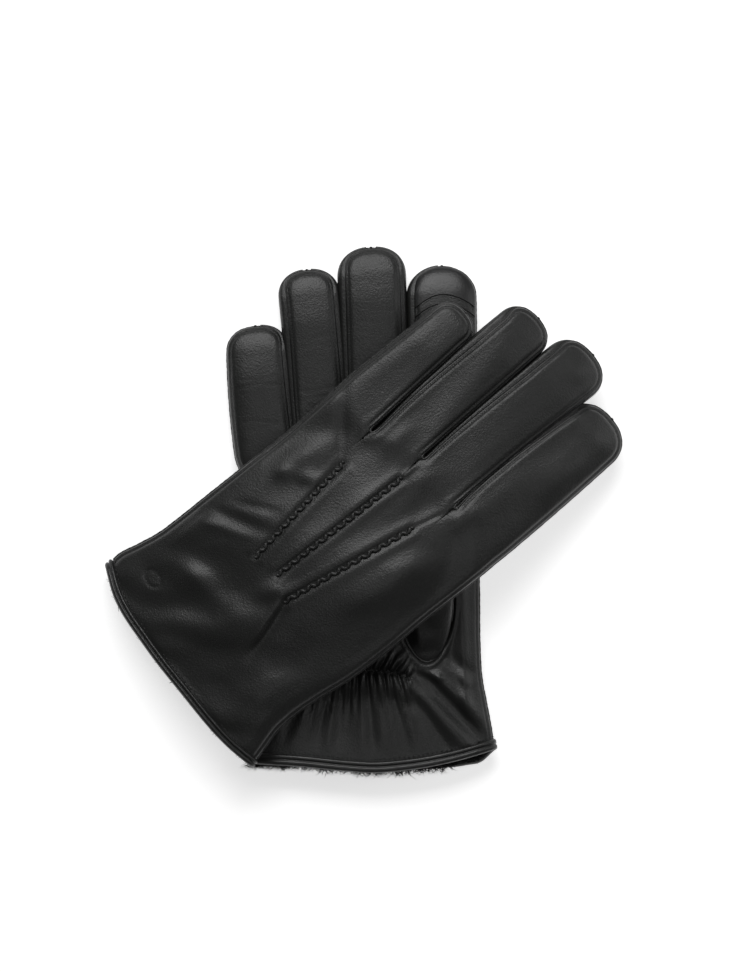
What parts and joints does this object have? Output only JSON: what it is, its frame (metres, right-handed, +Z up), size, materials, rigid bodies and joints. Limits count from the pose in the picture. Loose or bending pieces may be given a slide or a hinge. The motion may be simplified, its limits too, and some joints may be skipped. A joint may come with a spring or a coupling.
{
  "type": "leather gloves",
  "caption": "Pair of black lined leather dress gloves lying crossed, left back up over right palm up, with raised back points, forked finger sides and bound cuffs.",
  "frame": {"origin": "on the surface the gloves lie on, under the middle of the pair's bounding box", "axes": "+Z up; +Y along the right glove from cuff to fingertips; +X to the right as seen from above, fingertips away"},
  "size_m": [0.2468, 0.2506, 0.0455],
  "materials": {
    "glove_leather": "smooth nappa, satin",
    "binding_leather": "smooth nappa, folded and topstitched",
    "touch_leather": "smooth conductive leather, satin",
    "pile_lining": "short dense pile",
    "elastic": "woven elastic",
    "thread": "twisted thread over a leather tuck"
  },
  "bodies": {
    "root": {"right_back_leather": "glove_leather", "right_palm_leather": "glove_leather", "right_hand_lining": "pile_lining", "right_fourchette_pinky_ring": "glove_leather", "right_fourchette_ring_middle": "glove_leather", "right_fourchette_middle_index": "glove_leather", "right_thumb_leather": "glove_leather", "right_thumb_lining": "pile_lining", "right_cuff_binding": "binding_leather", "right_wrist_elastic": "elastic", "right_back_point_pinky": "thread", "right_back_point_middle": "thread", "right_back_point_index": "thread", "right_index_touch_pad": "touch_leather"},
    "left_glove": {"left_back_leather": "glove_leather", "left_palm_leather": "glove_leather", "left_hand_lining": "pile_lining", "left_fourchette_pinky_ring": "glove_leather", "left_fourchette_ring_middle": "glove_leather", "left_fourchette_middle_index": "glove_leather", "left_thumb_leather": "glove_leather", "left_thumb_lining": "pile_lining", "left_cuff_binding": "binding_leather", "left_wrist_elastic": "elastic", "left_back_point_pinky": "thread", "left_back_point_middle": "thread", "left_back_point_index": "thread"},
    "left_pinky_finger": {"left_pinky_finger_back": "glove_leather", "left_pinky_finger_palm": "glove_leather", "left_pinky_finger_lining": "pile_lining", "left_pinky_finger_index_side_strip": "glove_leather"},
    "left_ring_finger": {"left_ring_finger_back": "glove_leather", "left_ring_finger_palm": "glove_leather", "left_ring_finger_lining": "pile_lining", "left_ring_finger_pinky_side_strip": "glove_leather", "left_ring_finger_index_side_strip": "glove_leather"},
    "left_middle_finger": {"left_middle_finger_back": "glove_leather", "left_middle_finger_palm": "glove_leather", "left_middle_finger_lining": "pile_lining", "left_middle_finger_pinky_side_strip": "glove_leather", "left_middle_finger_index_side_strip": "glove_leather"},
    "left_index_finger": {"left_index_finger_back": "glove_leather", "left_index_finger_palm": "glove_leather", "left_index_finger_lining": "pile_lining", "left_index_finger_pinky_side_strip": "glove_leather", "left_index_touch_pad": "touch_leather"}
  },
  "joints": [
    {"name": "left_glove_lift", "type": "slide", "parent": "root", "child": "left_glove", "axis": [0, 0, 1], "range_m": [0, 0.12]},
    {"name": "left_pinky_fold", "type": "hinge", "parent": "left_glove", "child": "left_pinky_finger", "pos_m": [0.00792, 0.05791, 0.03662], "axis": [0.6552, -0.7539, 0.0474], "range_deg": [0, 80]},
    {"name": "left_ring_fold", "type": "hinge", "parent": "left_glove", "child": "left_ring_finger", "pos_m": [0.03036, 0.04356, 0.03739], "axis": [0.6663, -0.7444, 0.0447], "range_deg": [0, 80]},
    {"name": "left_middle_fold", "type": "hinge", "parent": "left_glove", "child": "left_middle_finger", "pos_m": [0.04702, 0.02206, 0.03852], "axis": [0.6432, -0.7652, 0.0257], "range_deg": [0, 80]},
    {"name": "left_index_fold", "type": "hinge", "parent": "left_glove", "child": "left_index_finger", "pos_m": [0.06517, -0.00307, 0.03756], "axis": [0.6394, -0.7612, -0.1088], "range_deg": [0, 80]}
  ]
}
